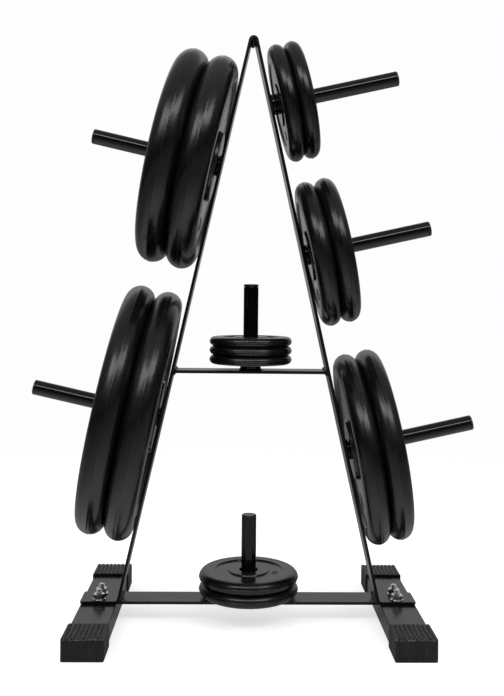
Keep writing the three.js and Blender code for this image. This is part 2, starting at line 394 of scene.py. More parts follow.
def powderCoat(name="powderCoat", waveDepth=powderLook["waveDepth"]):
    look = powderLook
    finish = Finish(name, look)
    peel = finish.noise(*look["peel"])
    waves = finish.noise(*look["waves"])
    smear = finish.ramp(finish.noise(*look["smear"]), look["smearStops"])
    rough = smear * look["smearRoughness"] + peel * look["peelRoughness"]
    lumps = finish.bump(waves, waveDepth)
    return finish.wear(
        Base_Color=finish.blend(smear * look["smearPaleness"], look["colour"], look["dusty"]),
        Roughness=look["smoothest"] + rough,
        Normal=finish.bump(peel, look["peelDepth"], lumps),
    )


pegLook = {
    "colour": (0.0025, 0.0025, 0.0026, 1),
    "scuffed": grey(0.014),
    "roughness": 0.09,
    "smoothest": 0.06,
    "scuffs": (260, 5, 0.7, (0.12, 1, 1)),
    "scuffStops": ((0.6, 0), (0.78, 1)),
    "scuffPaleness": 0.4,
    "scuffRoughness": 0.15,
    "clouds": (22, 3),
    "cloudRoughness": 0.06,
    "waves": (75, 2),
    "waveDepth": 0.12 * mm,
}


def glossPaint():
    look = pegLook
    finish = Finish("glossPaint", look)
    scuffs = finish.ramp(finish.noise(*look["scuffs"]), look["scuffStops"])
    clouds = finish.noise(*look["clouds"])
    waves = finish.noise(*look["waves"])
    rough = clouds * look["cloudRoughness"] + scuffs * look["scuffRoughness"]
    return finish.wear(
        Base_Color=finish.blend(scuffs * look["scuffPaleness"], look["colour"], look["scuffed"]),
        Roughness=look["smoothest"] + rough,
        Normal=finish.bump(waves, look["waveDepth"]),
    )


plasticLook = {
    "colour": grey(0.012),
    "rubbed": grey(0.022),
    "roughness": 0.2,
    "smoothest": 0.12,
    "grain": (1400, 2),
    "grainDepth": 0.03 * mm,
    "flow": (90, 3),
    "flowRoughness": 0.16,
}


def plugPlastic():
    look = plasticLook
    finish = Finish("plugPlastic", look)
    grain = finish.noise(*look["grain"])
    flow = finish.noise(*look["flow"])
    return finish.wear(
        Base_Color=finish.blend(flow, look["colour"], look["rubbed"]),
        Roughness=look["smoothest"] + flow * look["flowRoughness"],
        Normal=finish.bump(grain, look["grainDepth"]),
    )


capLook = {
    "colour": (0.0075, 0.0075, 0.0077, 1),
    "dusty": (0.026, 0.026, 0.0255, 1),
    # the pale grey of the upper edge of the end face: rubbed wear and a painted highlight
    "worn": (0.16, 0.16, 0.155, 1),
    "roughness": 0.46,
    "smoothest": 0.39,
    "grain": (700, 4, 0.6),
    "grainDepth": 0.12 * mm,
    "grainRoughness": 0.14,
    "streaks": (420, 4, 0.7, (1, 1, 0.06)),
    "streakShare": 0.6,
    "clouds": (55, 5, 0.65),
    "cloudShare": 0.4,
    "dustStops": ((0.46, 0), (0.68, 1)),
    "dustPaleness": 0.7,
    "stripes": (170, 2, 0.5, (1, 1, 0.06)),
    "stripeStops": ((0.36, 1), (0.46, 0)),
    "stripeRoughness": 0.1,
    "rubs": (420, 3),
    "rubStops": ((0.44, 0), (0.6, 1)),
}


def capRubber():
    # the worn-highlight mask is 1 on the upper edge of the end face, which is painted lighter in
    # spots: rubbed wear, together with a painted highlight where that edge catches the light
    look = capLook
    finish = Finish("capRubber", look)
    edge = finish.attribute("worn")
    grain = finish.noise(*look["grain"])
    streaks = finish.noise(*look["streaks"])
    stripes = finish.ramp(finish.noise(*look["stripes"]), look["stripeStops"])
    clouds = finish.noise(*look["clouds"])
    patches = streaks * look["streakShare"] + clouds * look["cloudShare"]
    dust = finish.ramp(patches, look["dustStops"]) * (1 - stripes) * look["dustPaleness"]
    dusted = finish.blend(dust, look["colour"], look["dusty"])
    # painted highlight with rubbed wear: pale spots along the upper edge of the end face
    rubbed = edge * finish.ramp(finish.noise(*look["rubs"]), look["rubStops"])
    rough = grain * look["grainRoughness"] + stripes * look["stripeRoughness"]
    return finish.wear(
        Base_Color=finish.blend(rubbed, dusted, look["worn"]),
        Roughness=look["smoothest"] + rough,
        Normal=finish.bump(grain, look["grainDepth"]),
    )


plateLook = {
    "colour": (0.0045, 0.0045, 0.0046, 1),
    "bloom": grey(0.016),
    "bloomStops": ((0.42, 0), (0.62, 1)),
    "rimBloom": 0.22,
    "flatBloom": 0.7,
    "roughness": 0.2,
    "flatRoughness": 0.14,
    "bloomRoughness": 0.06,
    "rimBloomRoughness": 0.05,
    "skin": (800, 3, 0.6),
    "skinDepth": 0.02 * mm,
    "mottle": (34, 5, 0.62),
    "mottleShare": 0.5,
    "clouds": (9, 3),
    "cloudShare": 0.2,
    "streaks": (1, 4, 0.6),
    "streakAlong": 7,
    "streakAcross": 190,
    "streakShare": 0.3,
    "dentDepth": 0.3 * mm,
    "lineDepth": 0.12 * mm,
}


def plateRubber():
    # flat is 1 on the faces and 0 on the rim; across is the place along the bore, in metres
    look = plateLook
    finish = Finish("plateRubber", look)
    flat = finish.attribute("flat")
    across = finish.attribute("across")
    scaled = {0: finish.spot, "Scale": look["streakAlong"]}
    slow = finish.node("ShaderNodeVectorMath", {"operation": "SCALE"}, scaled)
    quick = finish.node("ShaderNodeCombineXYZ", {}, {0: across * look["streakAcross"]})
    where = finish.node("ShaderNodeVectorMath", {"operation": "ADD"}, {0: slow, 1: quick})
    streaks = finish.noise(*look["streaks"], spot=where)
    skin = finish.noise(*look["skin"])
    mottle = finish.noise(*look["mottle"])
    clouds = finish.noise(*look["clouds"])
    patches = mottle * look["mottleShare"] + clouds * look["cloudShare"]
    bloom = finish.ramp(patches + streaks * look["streakShare"], look["bloomStops"])
    rim = 1 - flat
    dents = finish.bump(mottle * rim, look["dentDepth"])
    lines = finish.bump(streaks * rim, look["lineDepth"], dents)
    paleness = bloom * look["rimBloom"] + flat * look["flatBloom"]
    rimRoughness = rim * (look["roughness"] - look["flatRoughness"])
    bloomRoughness = bloom * (look["bloomRoughness"] + rim * look["rimBloomRoughness"])
    return finish.wear(
        Base_Color=finish.blend(paleness, look["colour"], look["bloom"]),
        Roughness=look["flatRoughness"] + rimRoughness + bloomRoughness,
        Normal=finish.bump(skin * rim, look["skinDepth"], lines),
    )


zincLook = {
    "colour": (0.92, 0.93, 0.94, 1),
    "dull": grey(0.55),
    "roughness": 0.07,
    "tarnish": (420, 4, 0.6),
    "tarnishStops": ((0.4, 0), (0.72, 1)),
    "tarnishPaleness": 0.6,
    "tarnishRoughness": 0.14,
    "scratches": (1600, 2, 0.5, (1, 1, 0.15)),
    "scratchDepth": 0.02 * mm,
}


def zincPlate():
    look = zincLook
    finish = Finish("zincPlate", look, Metallic=1)
    tarnish = finish.ramp(finish.noise(*look["tarnish"]), look["tarnishStops"])
    scratches = finish.noise(*look["scratches"])
    return finish.wear(
        Base_Color=finish.blend(tarnish * look["tarnishPaleness"], look["colour"], look["dull"]),
        Roughness=look["roughness"] + tarnish * look["tarnishRoughness"],
        Normal=finish.bump(scratches, look["scratchDepth"]),
    )


barFinish = powderCoat()
weldFinish = powderCoat("weldPowder", powderLook["weldWaveDepth"])
pegFinish = glossPaint()
plugFinish = plugPlastic()
capFinish = capRubber()
plateFinish = plateRubber()
zincFinish = zincPlate()
print("finishes made")


# Camera, as the photograph was taken

shot = {
    "imageHeight": 696,
    "focalPixels": 891.3,
    "besideTree": -27.4 * mm,
    "distance": 1502.5 * mm,
    "height": 547.5 * mm,
    "yaw": math.radians(1.1),
    "roll": math.radians(0.54),
    "horizonPixel": 293.6,
    "sensor": 36,
    "farthest": 60,
}


def makeCamera():
    lens = bpy.data.cameras.new("camera")
    lens.sensor_width = shot["sensor"]
    lens.lens = shot["focalPixels"] / shot["imageHeight"] * shot["sensor"]
    lens.shift_y = (shot["horizonPixel"] - shot["imageHeight"] / 2) / shot["imageHeight"]
    lens.clip_end = shot["farthest"]
    camera = linked("camera", lens)
    place = Matrix.Translation((treeX + shot["besideTree"], -shot["distance"], shot["height"]))
    aim = Matrix.Rotation(-shot["yaw"], 4, "Z") @ Matrix.Rotation(math.radians(90), 4, "X")
    camera.matrix_world = place @ aim @ Matrix.Rotation(shot["roll"], 4, "Z")
    bpy.context.scene.camera = camera


# Studio: a white floor that runs out into a white surround, soft boxes in front and above, and
# fills at the sides

studio = {
    "floorSize": 14,
    "floorColour": 0.8,
    "glowNear": 0.64,
    "glowFar": 0.985,
    "glowRadii": (0.45, 1.8),
    "glossShare": 0.2,
    "shallowLoss": 0.7,
    "shallowRise": (0.4, 1.05),
    "ambient": 0.012,
    "sky": 0.28,
    "skyRise": (0, 0.8),
    "backdrop": 0.41,
    "backdropSides": (0.55, 0.85),
    "backdropTop": (0.5, 0.76),
    "paler": 0.2,
    "palerRise": (0.34, 0.52),
    # each lamp's place, size, power, and whether reflections show it
    "lamps": {
        "leftBox": ((-1.4, -1.65, 2.2), (1.2, 0.9), 13, True),
        "rightBox": ((1.4, -1.65, 2.2), (1.2, 0.9), 13, True),
        "frontStrip": ((0, -2, 2.2), (1.7, 0.3), 12, True),
        "topBox": ((0, -0.1, 2.6), (1.5, 1.2), 22, False),
        "leftFill": ((-2.3, 0.3, 0.8), (1.4, 1.4), 17, False),
        "rightFill": ((2.3, 0.3, 0.8), (1.4, 1.4), 17, False),
    },
    "aim": (0, 0, 0.5),
}


def makeFloor():
    half = studio["floorSize"] / 2
    mesh = bpy.data.meshes.new("floor")
    corners = [(x * half, y * half, 0) for x, y in ((-1, -1), (1, -1), (1, 1), (-1, 1))]
    mesh.from_pydata(corners, [], [(0, 1, 2, 3)])
    linked("floor", mesh)
    material = bpy.data.materials.new("floorPaper")
    mesh.materials.append(material)
    board = emptyBoard(material)
    seen = board.node("ShaderNodeLightPath", output="Is Camera Ray")
    mirrored = board.node("ShaderNodeLightPath", output="Is Glossy Ray")
    spot = board.node("ShaderNodeTexCoord", output="Object")
    away = board.node("ShaderNodeVectorMath", {"operation": "LENGTH"}, {0: spot}, "Value")
    share = board.slope(away, *studio["glowRadii"])
    rising = studio["glowNear"] + share * (studio["glowFar"] - studio["glowNear"])
    glow = rising * (seen + mirrored * studio["glossShare"])
    # reflections show the lit paper darker where they look along the floor
    coming = board.node("ShaderNodeNewGeometry", output="Incoming")
    loss = board.slope(board.part(coming, "Z"), *studio["shallowRise"], studio["shallowLoss"], 0)
    lit = (1 - share) * (1 - mirrored * loss) * studio["floorColour"]
    paper = board.node("ShaderNodeBsdfDiffuse", {}, {"Color": lit})
    light = board.node("ShaderNodeEmission", {}, {"Color": glow, "Strength": 1})
    both = board.node("ShaderNodeAddShader", {}, [paper, light])
    board.node("ShaderNodeOutputMaterial", {}, {"Surface": both}, None)


def makeSurround():
    world = bpy.data.worlds.new("surround")
    bpy.context.scene.world = world
    board = emptyBoard(world)
    seen = board.node("ShaderNodeLightPath", output="Is Camera Ray")
    direction = board.node("ShaderNodeTexCoord", output="Generated")
    rise = board.part(direction, "Z")
    sky = board.slope(rise, *studio["skyRise"]) * studio["sky"]
    paler = studio["backdrop"] + board.slope(rise, *studio["palerRise"]) * studio["paler"]
    below = 1 - board.slope(rise, *studio["backdropTop"])
    backdrop = board.slope(board.part(direction, "Y"), *studio["backdropSides"]) * below * paler
    level = sky + backdrop + studio["ambient"]
    shown = seen * studio["glowFar"] + (1 - seen) * level
    back = board.node("ShaderNodeBackground", {}, {"Color": shown, "Strength": 1})
    board.node("ShaderNodeOutputWorld", {}, {"Surface": back}, None)


def makeLamps():
    for name, (at, size, power, gloss) in studio["lamps"].items():
        light = bpy.data.lights.new(name, "AREA")
        light.shape = "RECTANGLE"
        light.size, light.size_y = size
        light.energy = power
        holder = linked(name, light)
        holder.visible_glossy = gloss
        toAim = Vector(studio["aim"]) - Vector(at)
        turn = toAim.to_track_quat("-Z", "Y").to_matrix().to_4x4()
        holder.matrix_world = Matrix.Translation(at) @ turn
    bpy.context.scene.view_settings.view_transform = "Standard"


makeCamera()
makeFloor()
makeSurround()
makeLamps()
print("camera and studio made")


# Plates: each face keeps the frame's steps, with its corners rounded and its rim drawn fine

plateShape = {
    "segments": 144,
    "roundTo": 5,
    "boreEdge": 1.2 * mm,
    "hubEdge": 1.6 * mm,
    "hubFoot": 2 * mm,
    "webEdge": 2 * mm,
    "rimSteps": 14,
    "seamHeight": 0.5 * mm,
    "seamWidth": 1.8 * mm,
    "seamTip": 0.6 * mm,
    "lip": 1 * mm,
    "levelWithin": 0.2 * mm,
    "digitHeight": 0.7 * mm,
    "digitShare": 0.62,
    "digitLargest": 34 * mm,
    "digitTurn": -0.25,
    "digitSteps": 3,
    "upright": 0.9,
}
weights = {
    "left_low": "25", "left_top": "20", "right_low": "15", "right_middle": "10", "right_top": "5",
    "base": "2.5", "mid": "1.25",
}


def faceCorners(node, place, length):
    # the corners of the upper face inside the rim, in order of radius, with z from the middle
    local = localPoints(node, place)
    radii = np.hypot(local[:, 0], local[:, 1])
    half = length / 2
    upper = (local[:, 2] > half) & (radii < radii.max() - half - plateShape["lip"] / 2)
    digits = plateShape["roundTo"]
    spots = zip(radii[upper], local[upper, 2])
    return sorted({(round(r, digits), round(z - half, digits)) for r, z in spots})


def plateProfile(node, place, length):
    # the face, then the rim as a half round with its mould seam
    face = faceCorners(node, place, length)
    local = localPoints(node, place)
    outer = np.hypot(local[:, 0], local[:, 1]).max()
    half = length / 2
    rimCentre = outer - half
    shape = plateShape
    edges = ("boreEdge", "hubEdge", "hubFoot", "webEdge", "webEdge")
    front = [(r, z, shape[edges[index]]) for index, (r, z) in enumerate(face)]
    rim = []
    for step in range(shape["rimSteps"] + 1):
        angle = math.pi / 2 * (1 - step / shape["rimSteps"])
        rim.append((rimCentre + half * math.cos(angle), half * math.sin(angle), 0))
    rim[-1] = (outer, shape["seamWidth"] / 2, 0)
    seam = [(outer + shape["seamHeight"], shape["seamTip"] / 2, 0)]
    upperSide = front + rim + seam
    lowerSide = [(r, -z, corner) for r, z, corner in reversed(upperSide)]
    return [(point.x, point.y + half) for point in roundedLoop(upperSide + lowerSide)]


def markFaces(mesh, place, flatRadius):
    back = place.inverted()
    values = {"flat": [], "across": []}
    for vertex in mesh.vertices:
        local = back @ vertex.co
        values["flat"].append(float(math.hypot(local.x, local.y) < flatRadius))
        values["across"].append(local.z)
    for key, numbers in values.items():
        mesh.attributes.new(key, "FLOAT", "POINT").data.foreach_set("value", numbers)


def digitsMesh(text, size):
    curve = bpy.data.curves.new("digits", "FONT")
    curve.body, curve.size, curve.extrude = text, size, plateShape["digitHeight"]
    curve.align_x = curve.align_y = "CENTER"
    curve.resolution_u = plateShape["digitSteps"]
    holder = linked("digits", curve)
    bpy.context.view_layer.update()
    mesh = settled(holder)
    bpy.data.objects.remove(holder)
    return mesh


def addDigits(node, place, length, vertices, faces):
    # the plain weight in kilograms, raised on the recessed web of both faces
    text = next(kilos for label, kilos in weights.items() if node.startswith(f"plate_{label}"))
    corners = faceCorners(node, place, length)
    low = min(z for r, z in corners)
    radii = [r for r, z in corners if z < low + plateShape["levelWithin"]]
    width = max(radii) - min(radii)
    mesh = digitsMesh(text, min(width * plateShape["digitShare"], plateShape["digitLargest"]))
    axis = place.to_3x3() @ up
    upright = abs(axis.z) > plateShape["upright"]
    toward = Vector((1, plateShape["digitTurn"], 0)) if upright else Vector((0, 0, -1))
    down = (toward - axis * toward.dot(axis)).normalized()
    centre = place @ Vector((0, 0, length / 2)) + down * (max(radii) + min(radii)) / 2
    for side in (-1, 1):
        normal = axis * side
        turn = Matrix(((-down).cross(normal), -down, normal)).transposed()
        first = len(vertices)
        vertices += [turn @ vertex.co + centre + normal * low for vertex in mesh.vertices]
        corners = [polygon.vertices for polygon in mesh.polygons]
        faces += [tuple(first + index for index in indices) for indices in corners]


def makePlate(node):
    place, length = roundPlace(node, slideOf(node), thin=True)
    profile = plateProfile(node, place, length)
    shape = latheRings(profile, place, plateShape["segments"])
    addDigits(node, place, length, *shape)
    piece = finePiece(node, shape, plateFinish, 50, node)
    outer = max(radius for radius, height in profile)
    markFaces(piece.data, place, outer - length / 2 - plateShape["lip"])


for holder, spots in plateSpots.items():
    for spot in spots:
        makePlate(f"plate_{holder}_{spot}")
print("plates made")


# Pegs and pins: tube with a weld collar at its root, and a plug in its end

pegShape = {
    "radius": 12.5 * mm,
    "wall": 2 * mm,
    "collarRadius": 17.5 * mm,
    "collarEdge": 1.1 * mm,
    "collarFoot": 0.8 * mm,
    "tubeEdge": 0.7 * mm,
    "rootGap": 0.3 * mm,
    "insert": 14 * mm,
    "insertRadius": 10.2 * mm,
    "plugEdge": 1.8 * mm,
    "axisGap": 0.3 * mm,
    "plugCrown": 0.35 * mm,
    "plugFoot": 0.7 * mm,
    "plugSteps": 5,
    "segments": 72,
}


def makeTube(node, along):
    shape = pegShape
    place, length = roundPlace(node, along)
    local = localPoints(node, place)
    wide = np.hypot(local[:, 0], local[:, 1]) > (shape["radius"] + shape["collarRadius"]) / 2
    collar = local[wide, 2].max()
    bore = shape["radius"] - shape["wall"]
    corners = [
        (bore, -shape["rootGap"], 0),
        (shape["collarRadius"], -shape["rootGap"], 0),
        (shape["collarRadius"], collar, shape["collarEdge"]),
        (shape["radius"], collar, shape["collarFoot"]),
        (shape["radius"], length, shape["tubeEdge"]),
        (bore, length, 0),
    ]
    shell = latheRings(roundedLoop(corners), place, shape["segments"])
    finePiece(node, shell, pegFinish, 40)
    return place


def makePlug(node, tubePlace):
    # it starts at its own lowest end
    shape = pegShape
    start = localPoints(node, tubePlace)[:, 2].min()
    place = tubePlace @ Matrix.Translation((0, 0, start))
    low = shape["insert"]
    top = localPoints(node, place)[:, 2].max()
    corners = [
        (shape["axisGap"], 0, 0),
        (shape["insertRadius"], 0, shape["plugFoot"]),
        (shape["insertRadius"], low, 0),
        (shape["radius"], low, shape["plugFoot"]),
        (shape["radius"], top - shape["plugCrown"], shape["plugEdge"]),
        (shape["axisGap"], top, 0),
    ]
    profile = roundedLoop(corners, shape["plugSteps"])
    solid = latheRings(profile, place, shape["segments"], False)
    finePiece(node, solid, plugFinish, 40)


def makePeg(node, along):
    place = makeTube(node, along)
    makePlug(f"{node}_plug", place)
    return place


roots = [makePeg(f"peg_{peg}", slideOf(f"plate_{peg}_inner")) for peg in pegNames]
roots += [makePeg(f"pin_{pin}", up) for pin in pinNames]
print("pegs and pins made")


# Flat bar: two legs bent out into foot tabs, the mid bar, the base bar and the round peak

bar = {
    "width": 50 * mm,
    "thickness": 5 * mm,
    "edge": 0.7 * mm,
    "edgeShare": 0.8,
    "edgeSteps": 3,
    "bendRadius": 4 * mm,
    "bendSteps": 8,
    "tabCorner": 4.5 * mm,
    "tabSteps": (1.33, 1, 0.71, 0.44, 0.27, 0.13, 0.055, 0.01),
    "peakRadius": 8.3 * mm,
    "peakSteps": 22,
    "peakRough": 0.3 * mm,
    "peakRange": (-1, 0.2),
    "peakSeed": 4,
}
peak = Vector((treeX, 0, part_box("apex_weld")[1].z - bar["peakRadius"]))
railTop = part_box("leg_left")[0].z


def outwardAt(side, angle):
    return Vector((side * math.cos(angle), 0, math.sin(angle)))


def faceX(side, z, depth):
    # where the leg's face at a depth inside its outer face has the height z
    reach = (bar["peakRadius"] - depth - (z - peak.z) * math.sin(lean)) / math.cos(lean)
    return treeX + side * reach


def bendCentre(side):
    z = railTop + bar["thickness"] + bar["bendRadius"]
    return Vector((faceX(side, z, -bar["bendRadius"]), 0, z))


def innerX(side, z):
    # the leg's inner face, with the outside of the foot bend below it
    centre = bendCentre(side)
    radius = bar["bendRadius"] + bar["thickness"]
    if z > centre.z - radius * math.sin(lean):
        return faceX(side, z, bar["thickness"])
    return centre.x - side * math.sqrt(max(radius ** 2 - (centre.z - z) ** 2, 0))


def barLoop(at, normal, narrow=0, thin=0):
    half = bar["width"] / 2 - narrow
    thick = bar["thickness"] / 2 - thin
    edge = min(bar["edge"], thick * bar["edgeShare"])
    loop = roundedBox(-half, half, -thick, thick, edge, bar["edgeSteps"])
    return [at + Vector((0, point.x, 0)) + normal * point.y for point in loop]


def roundOff(radius, gap):
    # how far a rounded corner has drawn in at a gap before its end
    return radius - math.sqrt(max(radius ** 2 - (radius - gap) ** 2, 0)) if gap < radius else 0


def makeLeg(sideName, side):
    node = f"leg_{sideName}"
    outward = outwardAt(side, lean)
    middle = bar["bendRadius"] + bar["thickness"] / 2
    centre = bendCentre(side)
    loops = [barLoop(peak + outward * (bar["peakRadius"] - bar["thickness"] / 2), outward)]
    for step in range(bar["bendSteps"] + 1):
        share = step / bar["bendSteps"]
        angle = (1 - share) * lean + share * math.pi / 2
        normal = outwardAt(side, angle)
        loops.append(barLoop(centre - normal * middle, normal))
    low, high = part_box(node)
    end = high.x if side > 0 else low.x
    for share in bar["tabSteps"]:
        gap = share * bar["tabCorner"]
        at = Vector((end - side * gap, 0, railTop + bar["thickness"] / 2))
        narrow, thin = roundOff(bar["tabCorner"], gap), roundOff(bar["edge"], gap)
        loops.append(barLoop(at, up, narrow, thin))
    finePiece(node, sweepRings(loops), barFinish)


def makeCrossBar(node, top):
    middle = top - bar["thickness"] / 2
    loops = []
    for side in (-1, 1):
        loop = barLoop(Vector((treeX, 0, middle)), up)
        loops.append([Vector((innerX(side, point.z), point.y, point.z)) for point in loop])
    finePiece(node, sweepRings(loops), barFinish)


def makePeak():
    # the ground weld over the tops of the legs, a little uneven
    dice = random.Random(bar["peakSeed"])
    radius = bar["peakRadius"] - bar["thickness"] / 2
    loops = []
    for step in range(bar["peakSteps"] + 1):
        angle = lean + (math.pi - 2 * lean) * step / bar["peakSteps"]
        normal = outwardAt(1, angle)
        rough = bar["peakRough"] if step not in (0, bar["peakSteps"]) else 0
        loop = barLoop(peak + normal * radius, normal)
        lifts = [dice.uniform(*bar["peakRange"]) * rough for point in loop]
        loops.append([point + normal * lift for point, lift in zip(loop, lifts)])
    finePiece("apex_weld", sweepRings(loops), weldFinish, 60)


midBarTop = centreOf("mid_bar").z + bar["thickness"] / 2
baseBarTop = railTop + bar["thickness"]
for sideName, side in sides.items():
    makeLeg(sideName, side)
makeCrossBar("mid_bar", midBarTop)
makeCrossBar("base_bar", baseBarTop)
makePeak()
print("bars made")


# Weld beads: overlapping drops laid along a path by geometry nodes

def newTree(name, inputs):
    tree = bpy.data.node_groups.new(name, "GeometryNodeTree")
    tree.interface.new_socket("Geometry", in_out="INPUT", socket_type="NodeSocketGeometry")
    for label, kind in inputs.items():
        tree.interface.new_socket(label, in_out="INPUT", socket_type=f"NodeSocket{kind}")
    tree.interface.new_socket("Geometry", in_out="OUTPUT", socket_type="NodeSocketGeometry")
    board = Board(tree)
    group = tree.nodes.new("NodeGroupInput")
    given = {socket.name: Wire(board, socket) for socket in group.outputs if socket.name}
    return board, given


def closeTree(board, geometry, material):
    solid = board.node("GeometryNodeRealizeInstances", {}, {"Geometry": geometry})
    painted = board.node("GeometryNodeSetMaterial", {}, {"Geometry": solid, "Material": material})
    board.node("NodeGroupOutput", {}, {0: painted}, None)
    return board.tree


def grown(mesh, tree, values):
    # the plain mesh that a geometry node tree makes from a mesh
    holder = linked("holder", mesh)
    modifier = holder.modifiers.new("grow", "NODES")
    modifier.node_group = tree
    for item in tree.interface.items_tree:
        if item.in_out == "INPUT" and item.name in values:
            modifier[item.identifier] = values[item.name]
    bpy.context.view_layer.update()
    result = settled(holder)
    holder.modifiers.remove(modifier)
    bpy.data.objects.remove(holder)
    return result


def makeWeldTree():
    inputs = {
        "Size": "Float", "Pitch": "Float", "Smallest": "Vector", "Largest": "Vector",
        "Seed": "Int", "Finish": "Material",
    }
    board, given = newTree("weldBead", inputs)
    path = board.node("GeometryNodeMeshToCurve", {}, {"Mesh": given["Geometry"]})
    spacing = {"Curve": path, "Length": given["Pitch"]}
    spaced = board.node("GeometryNodeResampleCurve", {"mode": "LENGTH"}, spacing)
    ball = {"Radius": given["Size"], "Subdivisions": 2}
    drop = board.node("GeometryNodeMeshIcoSphere", {}, ball)
    soft = board.node("GeometryNodeSetShadeSmooth", {}, {"Geometry": drop})
    tangent = board.node("GeometryNodeInputTangent")
    turn = board.node("FunctionNodeAlignRotationToVector", {"axis": "X"}, {"Vector": tangent})
    limits = {0: given["Smallest"], 1: given["Largest"], "Seed": given["Seed"]}
    size = board.node("FunctionNodeRandomValue", {"data_type": "FLOAT_VECTOR"}, limits)
    placed = {"Points": spaced, "Instance": soft, "Rotation": turn, "Scale": size}
    drops = board.node("GeometryNodeInstanceOnPoints", {}, placed)
    return closeTree(board, drops, given["Finish"])


welds = {
    "bar": {"size": 3.1 * mm, "pitch": 2.4 * mm, "seed": 3},
    "base": {"size": 2.6 * mm, "pitch": 2.2 * mm, "seed": 5},
    "root": {"size": 1.5 * mm, "pitch": 1.7 * mm, "seed": 7},
    "peak": {"size": 2.3 * mm, "pitch": 2.3 * mm, "seed": 9},
    "smallest": (0.6, 0.8, 0.8),
    "largest": (0.85, 1.1, 1.1),
    "endGap": 3 * mm,
    "sink": 0.6 * mm,
    "ringGap": 0.4 * mm,
    "ringLift": 0.2 * mm,
    "steps": 48,
    "peakDrop": 0.2,
    "peakInset": 0.9 * mm,
    "peakSpots": ((-3 * mm, 2.5 * mm), (0, 5.5 * mm), (3.4 * mm, 3.2 * mm)),
}
weldTree = makeWeldTree()


def pathMesh(paths):
    mesh = bpy.data.meshes.new("paths")
    vertices, edges = [], []
    for path in paths:
        first = len(vertices)
        vertices += [tuple(point) for point in path]
        edges += [(first + step, first + step + 1) for step in range(len(path) - 1)]
    mesh.from_pydata(vertices, edges, [])
    return mesh


def beads(paths, look):
    values = {
        "Size": look["size"], "Pitch": look["pitch"], "Seed": look["seed"], "Finish": weldFinish,
        "Smallest": welds["smallest"], "Largest": welds["largest"],
    }
    return grown(pathMesh(paths), weldTree, values)


def acrossPath(x, z):
    half = bar["width"] / 2 - welds["endGap"]
    return [Vector((x, -half, z)), Vector((x, half, z))]


def ringPath(place):
    radius = pegShape["collarRadius"] + welds["ringGap"]
    turns = [2 * math.pi * step / welds["steps"] for step in range(welds["steps"] + 1)]
    return [place @ roundSpot(radius, turn, welds["ringLift"]) for turn in turns]


def makeWelds():
    sink = welds["sink"]
    barPaths, basePaths = [], []
    for side in sides.values():
        for z in (midBarTop + sink, midBarTop - bar["thickness"] - sink):
            barPaths.append(acrossPath(innerX(side, z) - side * sink, z))
        z = baseBarTop + sink
        basePaths.append(acrossPath(innerX(side, z) - side * sink, z))
    inner = bar["peakRadius"] - bar["thickness"]
    peakPaths = [acrossPath(treeX, peak.z + inner * welds["peakDrop"])]
    for end in ends.values():
        face = end * (bar["width"] / 2 - welds["peakInset"])
        peakPaths.append([Vector((treeX + x, face, peak.z + z)) for x, z in welds["peakSpots"]])
    meshes = [
        beads(barPaths, welds["bar"]),
        beads(basePaths, welds["base"]),
        beads([ringPath(place) for place in roots], welds["root"]),
        beads(peakPaths, welds["peak"]),
    ]
    joined("weldBeads", meshes, weldFinish, [], 60)


makeWelds()
print("welds laid")


# Foot rails: rounded tube, with spanner holes in the lower wall

rail = {
    "wall": 2 * mm,
    "corner": 3 * mm,
    "spannerHole": 26 * mm,
    "boltPitch": 29 * mm,
    "drillOver": 4 * mm,
    "holeSides": 40,
    "cornerSteps": 6,
}


def boxLoop(low, high, inset, corner, y):
    x0, x1, z0, z1 = low.x + inset, high.x - inset, low.z + inset, high.z - inset
    loop = roundedBox(x0, x1, z0, z1, corner, rail["cornerSteps"])
    return [Vector((point.x, y, point.y)) for point in loop]


def makeRail(sideName):
    node = f"rail_{sideName}"
    low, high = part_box(node)
    wall, corner = rail["wall"], rail["corner"]
    outer = [boxLoop(low, high, 0, corner, y) for y in (low.y, high.y)]
    inner = [boxLoop(low, high, wall, corner - wall, y) for y in (high.y, low.y)]
    tube = newPiece("tube", sweepRings(outer + inner, True))
    middle = (low + high) / 2
    radius = rail["spannerHole"] / 2
    hole = [(radius, low.z - rail["drillOver"]), (radius, middle.z)]
    drills = []
    for y in (-rail["boltPitch"] / 2, rail["boltPitch"] / 2):
        place = Matrix.Translation((middle.x, y, 0))
        drills.append(newPiece("drill", latheRings(hole, place, rail["holeSides"], False)))
    joined(f"{node}_fine", [cutBy(tube, drills)], barFinish, [node])


for sideName in sides:
    makeRail(sideName)
print("rails made")


# Foot caps: a rounded shoe over each rail end, its ribs set out by geometry nodes

cap = {
    "edge": 1.6 * mm,
    "edgeSteps": (1, 0.56, 0.25, 0.075, 0.003),
    "least": 0.1 * mm,
    "mouthOver": 6 * mm,
    "wornHighlightReach": 1.2 * mm,
    "ribDepth": 2.8 * mm,
    "ribs": 9,
    "ribSetback": 0.9 * mm,
    "front": 4 * mm,
    "clearance": 0.3 * mm,
    "faceRibs": 16,
    "seamRadius": 0.5 * mm,
    "faceRibDepth": 0.8 * mm,
    "sideRibs": 17,
    "sideRibDepth": 0.3 * mm,
    "ribSides": 16,
}


def makeRibTree():
    inputs = {
        "Size": "Vector", "Turn": "Vector", "First": "Vector", "Step": "Vector",
        "Count": "Int", "Sides": "Int", "Finish": "Material",
    }
    board, given = newTree("ribRow", inputs)
    plain = {"Vertices": given["Sides"], "Radius": 1, "Depth": 1}
    rod = board.node("GeometryNodeMeshCylinder", {}, plain)
    shaped = {"Geometry": rod, "Scale": given["Size"], "Rotation": given["Turn"]}
    rib = board.node("GeometryNodeTransform", {}, shaped)
    row = {"Count": given["Count"], "Start Location": given["First"], "Offset": given["Step"]}
    points = board.node("GeometryNodeMeshLine", {}, row)
    placed = board.node("GeometryNodeInstanceOnPoints", {}, {"Points": points, "Instance": rib})
    return closeTree(board, placed, given["Finish"])


ribTree = makeRibTree()


